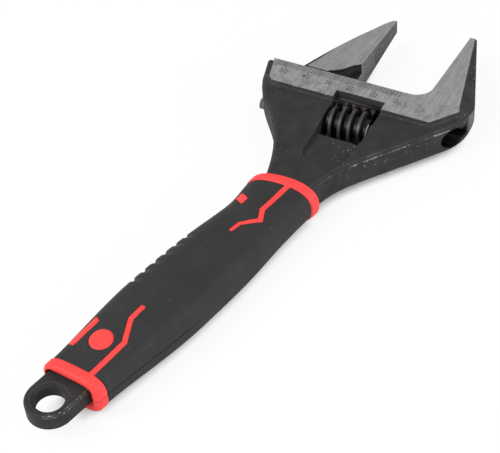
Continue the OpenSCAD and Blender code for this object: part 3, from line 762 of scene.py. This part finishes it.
def surfaceTurn(x, y, side):
    # turn of the surface point that lies at y in the section at x, on the upper or lower side
    p = powerAt(x)
    ratio = np.clip(np.abs(y - aside(x)) / along(x, grip["halfWide"]), 1e-6, 0.999999)
    rise = (ratio ** (-2 / p) - 1) ** (p / 2)
    return np.arctan2(side * rise, np.sign(y - aside(x)))


def ribbon(path, width):
    # outline of a bar along a path, mitred at its corners, with its width at each point
    path = np.array(path, float)
    ahead = np.diff(path, axis=0)
    ahead /= np.linalg.norm(ahead, axis=1)[:, None]
    normal = np.stack([-ahead[:, 1], ahead[:, 0]], 1)
    inner = normal[:-1] + normal[1:]
    inner *= 2 / (inner ** 2).sum(1)[:, None]
    off = np.vstack([normal[:1], inner, normal[-1:]]) * np.array(width)[:, None] / 2
    return np.vstack([path + off, (path - off)[::-1]])


inlays = [ribbon([[11.2, -7.4], [30.5, -7.4], [39.4, -2.2], [46.2, -2.1]], [2.1, 2.1, 2.1, 2.1]),
          ribbon([[126, -4.1], [109, -4.2], [104.2, -7.1], [97.7, -2.4], [92.8, -2.2]],
                 [2.2, 2.2, 2.1, 1.7, 1.6]),
          np.array([[19.4, 6.9], [32.6, 6.9], [34, 9.8], [19.4, 9.8]]),
          np.array([[106.7, 4.5], [110.8, 4.5], [113, 9.4], [109, 9.4]])]
disc = {"at": (26.6, 0.15), "radius": 4.5}


def insideBy(x, y, outline):
    # signed distance to an outline, negative inside it: nearest edge, and the sign by crossings
    best = np.full(x.shape, 1e9)
    inside = np.zeros(x.shape, bool)
    for (ax, ay), (bx, by) in zip(outline, np.roll(outline, -1, 0)):
        dx, dy = bx - ax, by - ay
        t = np.clip(((x - ax) * dx + (y - ay) * dy) / (dx * dx + dy * dy), 0, 1)
        best = np.minimum(best, np.hypot(x - ax - t * dx, y - ay - t * dy))
        inside ^= ((ay > y) != (by > y)) & (x < ax + (y - ay) * dx / (dy if dy else 1e-9))
    return np.where(inside, -best, best)


def redBy(x, y, station):
    # distance to the red parts: inlays and disc on the plan, collars along the stations
    gap = np.hypot(x - disc["at"][0], y - disc["at"][1]) - disc["radius"]
    for outline in inlays:
        gap = np.minimum(gap, insideBy(x, y, outline))
    gap = np.minimum(gap, station - grip["sleeveStart"])
    return np.minimum(gap, grip["sleeveEnd"] - station)


def gripGrid():
    # stations and turns over the whole grip; points beside a colour boundary are moved onto it
    station = np.concatenate([np.linspace(grip["start"] + tail["rim"], grip["sleeveStart"], 12)[:-1],
                              np.linspace(grip["sleeveStart"], grip["sleeveEnd"], grip["rows"]),
                              np.linspace(grip["sleeveEnd"], grip["end"] - nose["rim"], 12)[1:]])
    turn = np.linspace(0, 2 * pi, grip["cols"], endpoint=False)
    x, a = (g.copy() for g in np.meshgrid(station, turn, indexing="ij"))
    flat = gripSurface(x, a, 0)
    gap = redBy(flat[..., 0], flat[..., 1], x)
    exact = 1e-6
    on = np.abs(gap) < exact
    for axis in (0, 1):
        after = np.roll(gap, -1, axis)
        crossing = (gap * after < 0)
        if axis == 0:
            crossing[-1] = False
        nearer = np.abs(gap) <= np.abs(after)
        on |= crossing & nearer
        on |= np.roll(crossing & ~nearer, 1, axis)
    # only the upper and lower sides carry the pattern, and the collars' own rows stay where they are
    on &= (np.abs(flat[..., 2]) > 1) | (np.abs(gap) < exact)
    move = on & (np.abs(gap) >= exact)
    h = 0.01  # small step for the slopes of the distance
    px, py = flat[..., 0], flat[..., 1]
    slopeX = (redBy(px + h, py, x + h) - redBy(px - h, py, x - h)) / (2 * h)
    slopeY = (redBy(px, py + h, x) - redBy(px, py - h, x)) / (2 * h)
    px = px - np.where(move, gap * slopeX, 0)
    py = py - np.where(move, gap * slopeY, 0)
    # the station that a moved point belongs to is found in a few rounds
    newX = x.copy()
    for _ in range(6):
        newX = np.where(move, px + (py - aside(newX)) * slantAt(newX), newX)
    side = np.where(flat[..., 2] < 0, -1, 1)
    newA = np.where(move, surfaceTurn(newX, py, side), a)
    return newX, newA, gap, on


def fingerDepth(x, a):
    # rounded notches across the +Y side: deep * root of (1 - (distance along the grip / half)^2),
    # which fade out where the notch has wrapped far enough round towards the flat sides
    y = along(x, grip["halfWide"]) * np.cos(a)
    place = x - y * slantAt(x)
    nearest = np.round((place - fingers["first"]) / fingers["pitch"]).clip(0, fingers["count"] - 1)
    gap = (place - fingers["first"] - nearest * fingers["pitch"]) / fingers["half"]
    around = np.abs(np.degrees(np.arctan2(np.sin(a), np.cos(a))))
    fade = 1 - ease((around - fingers["wrap"] + fingers["fade"]) / fingers["fade"], 1)
    return fingers["deep"] * np.sqrt(np.clip(1 - gap ** 2, 0, 1)) * fade


def partingDepth(x, a):
    # depth of the mould's parting line, a narrow V along both sides at mid thickness
    fade = 1 - ease((x - parting["from"]) / parting["fade"], 1)
    height = np.abs(along(x, grip["halfThick"]) * np.sin(a))
    return parting["deep"] * fade * np.clip(1 - height / parting["half"], 0, 1)


def rimRings(turn, end, inwards, rim, degrees):
    # a quarter round at one end of the grip, by its angle
    rings = []
    for phi in np.radians(degrees):
        cut = rim * (1 - sin(phi)) - grip["proud"]
        rings.append(gripSurface(np.full_like(turn, end + inwards * rim * (1 - cos(phi))), turn, cut))
    return rings


def tailRings(turn):
    # floor, sloping wall and lip of the opening round the tang, then the rounded rim
    start, k = grip["start"], roundness(turn, tail["round"])
    slant = slantAt(np.array(start))
    rings = []
    for deep, wide, thick in tail["opening"]:
        y = wide * k * np.cos(turn)
        rings.append(np.stack([start + deep - y * slant, y, thick * k * np.sin(turn)], -1))
    lip = rings[-1]
    edgeCut = tail["rim"] - grip["proud"] + tail["edgeIn"]
    edge = gripSurface(np.full_like(turn, start + tail["edgeDeep"]), turn, edgeCut)
    rings += [lip + (edge - lip) * t for t in (0.35, 0.7, 1.0)]
    return rings + rimRings(turn, start, 1, tail["rim"], [15, 30, 45, 60, 75])


def noseRings(turn):
    # rounded rim of the head collar, then its front face down to the neck
    end = grip["end"]
    rings = rimRings(turn, end, -1, nose["rim"], [75, 60, 45, 30, 15, 0])
    edge = rings[-1]
    middle = gripSurface(np.full_like(turn, end - nose["faceBack"]), turn, nose["faceIn"])
    rings += [edge + (middle - edge) * t for t in (0.3, 0.65, 1.0)]
    return rings + [gripSurface(np.full_like(turn, end - nose["neckBack"]), turn, nose["neckIn"])]


stationGrid, turnGrid, redGap, boundary = gripGrid()
groove = np.where(boundary, grip["groove"], 0) + partingDepth(stationGrid, turnGrid)
groove = groove + fingerDepth(stationGrid, turnGrid)

# red shell: on the surface where it is red, under the sleeve elsewhere, proud in the collars
rise = grip["proud"] * (ease((grip["sleeveStart"] - stationGrid) / grip["step"], 1)
                        + ease((stationGrid - grip["sleeveEnd"]) / grip["step"], 1))
redCut = np.where(boundary | (redGap < 0), groove, groove + grip["under"] + grip["lap"]) - rise
plainTurn = np.linspace(0, 2 * pi, grip["cols"], endpoint=False)
redSkin = gripSurface(stationGrid, turnGrid, redCut)
redRings = np.stack(tailRings(plainTurn) + list(redSkin) + noseRings(plainTurn))
red = mouldedPlastic("redPolypropylene", "#fb4744", "#f43f3e", 0.012, 0.5, 0.1, "#c2302f")
shell = placePiece("gripShell", ringMesh("gripShell", redRings), "wrench", "red_plastic", red)
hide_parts("grip_shell")

# black sleeve: the other way round, on the rows from collar to collar, with an inner skin that
# closes it round the shell
keep = (stationGrid[:, 0] > grip["sleeveStart"] - 0.2) & (stationGrid[:, 0] < grip["sleeveEnd"] + 0.2)
blackCut = np.where(boundary | (redGap > 0), groove, groove + grip["under"])
blackSkin = gripSurface(stationGrid, turnGrid, blackCut)[keep]
innerX = np.linspace(grip["sleeveEnd"] - 0.1, grip["sleeveStart"] + 0.1, 100)[:, None] + 0 * plainTurn
innerTurn = plainTurn + 0 * innerX
inner = gripSurface(innerX, innerTurn, grip["under"] + grip["lap"] + fingerDepth(innerX, innerTurn))
rubber = mouldedPlastic("blackRubber", "#2f2f2f", "#282828", 0.02, 0.62, 0.6, "#050505")
sleeve = placePiece("gripSleeve", ringMesh("gripSleeve", np.concatenate([blackSkin, inner]), True),
                    "wrench", "black_rubber", rubber)
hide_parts("grip_sleeve")
print("grip made")


# camera

lens = {"place": (-176.928, -267.277, 381.405), "right": (0.63867, -0.76682, -0.06394),
        "up": (0.56829, 0.41403, 0.71107), "focal": 104.184}
camData = bpy.data.cameras.new("camera")
camData.lens = lens["focal"]
camData.sensor_width = 36
cam = bpy.data.objects.new("camera", camData)
right, up = Vector(lens["right"]), Vector(lens["up"])
turned = Matrix((right, up, right.cross(up))).transposed().to_4x4()
cam.matrix_world = Matrix.Translation(Vector(lens["place"]) * mm) @ turned
bpy.context.scene.collection.objects.link(cam)
bpy.context.scene.camera = cam


# light and floor: a dim even sky that the camera sees as white, two soft lamps, and a floor that
# glows nearly as white, with painted shade, from ambient occlusion, close to the wrench

studio = {"sky": 0.62, "backdrop": 1.0, "aim": (0.12, 0, 0), "floorHalf": 3.0, "floorBelow": 0.0002,
          "shadeReach": 0.03, "glow": 0.9}
lamps = {"keyBox": {"place": (-0.5, 0.3, 0.8), "size": 0.6, "watts": 7.5},
         "sideBox": {"place": (0.4, -0.75, 0.3), "size": 0.5, "watts": 3.0}}
world = bpy.data.worlds.new("studio")
bpy.context.scene.world = world
world.use_nodes = True
world.node_tree.nodes.clear()
node = partial(addNode, world.node_tree)
node("OutputWorld", node("MixShader", node("LightPath", pick="Is Camera Ray"),
                         node("Background", "#ffffff", studio["sky"]),
                         node("Background", "#ffffff", studio["backdrop"])))

for name, lamp in lamps.items():
    light = bpy.data.lights.new(name, "AREA")
    light.shape = "DISK"
    light.size = lamp["size"]
    light.energy = lamp["watts"]
    holder = bpy.data.objects.new(name, light)
    holder.location = lamp["place"]
    towards = Vector(studio["aim"]) - Vector(lamp["place"])
    holder.rotation_euler = towards.to_track_quat("-Z", "Y").to_euler()
    bpy.context.scene.collection.objects.link(holder)

floorMesh = bpy.data.meshes.new("floor")
half, low = studio["floorHalf"], cadBox[0][2] - studio["floorBelow"]
floorMesh.from_pydata([(-half, -half, low), (half, -half, low), (half, half, low), (-half, half, low)],
                      [], [(0, 1, 2, 3)])
floor = bpy.data.objects.new("floor", floorMesh)
bpy.context.scene.collection.objects.link(floor)
floorMat, node = newMaterial("paleFloor")
# painted shade on the glowing floor: darker where the wrench hides it from the sky
hidden = node("occlusion", inputs={"Distance": studio["shadeReach"]}, pick="AO")
glow = node("Emission", node("mix", node("smooth", hidden, 0.08, 0.38), "#1c1c1c", "#ffffff"), 1.0)
seen = node("times", node("LightPath", pick="Is Camera Ray"), studio["glow"])
node("OutputMaterial", node("MixShader", seen, node("BsdfDiffuse", "#f2f2f2"), glow))
floorMesh.materials.append(floorMat)
print("camera, light and floor set")
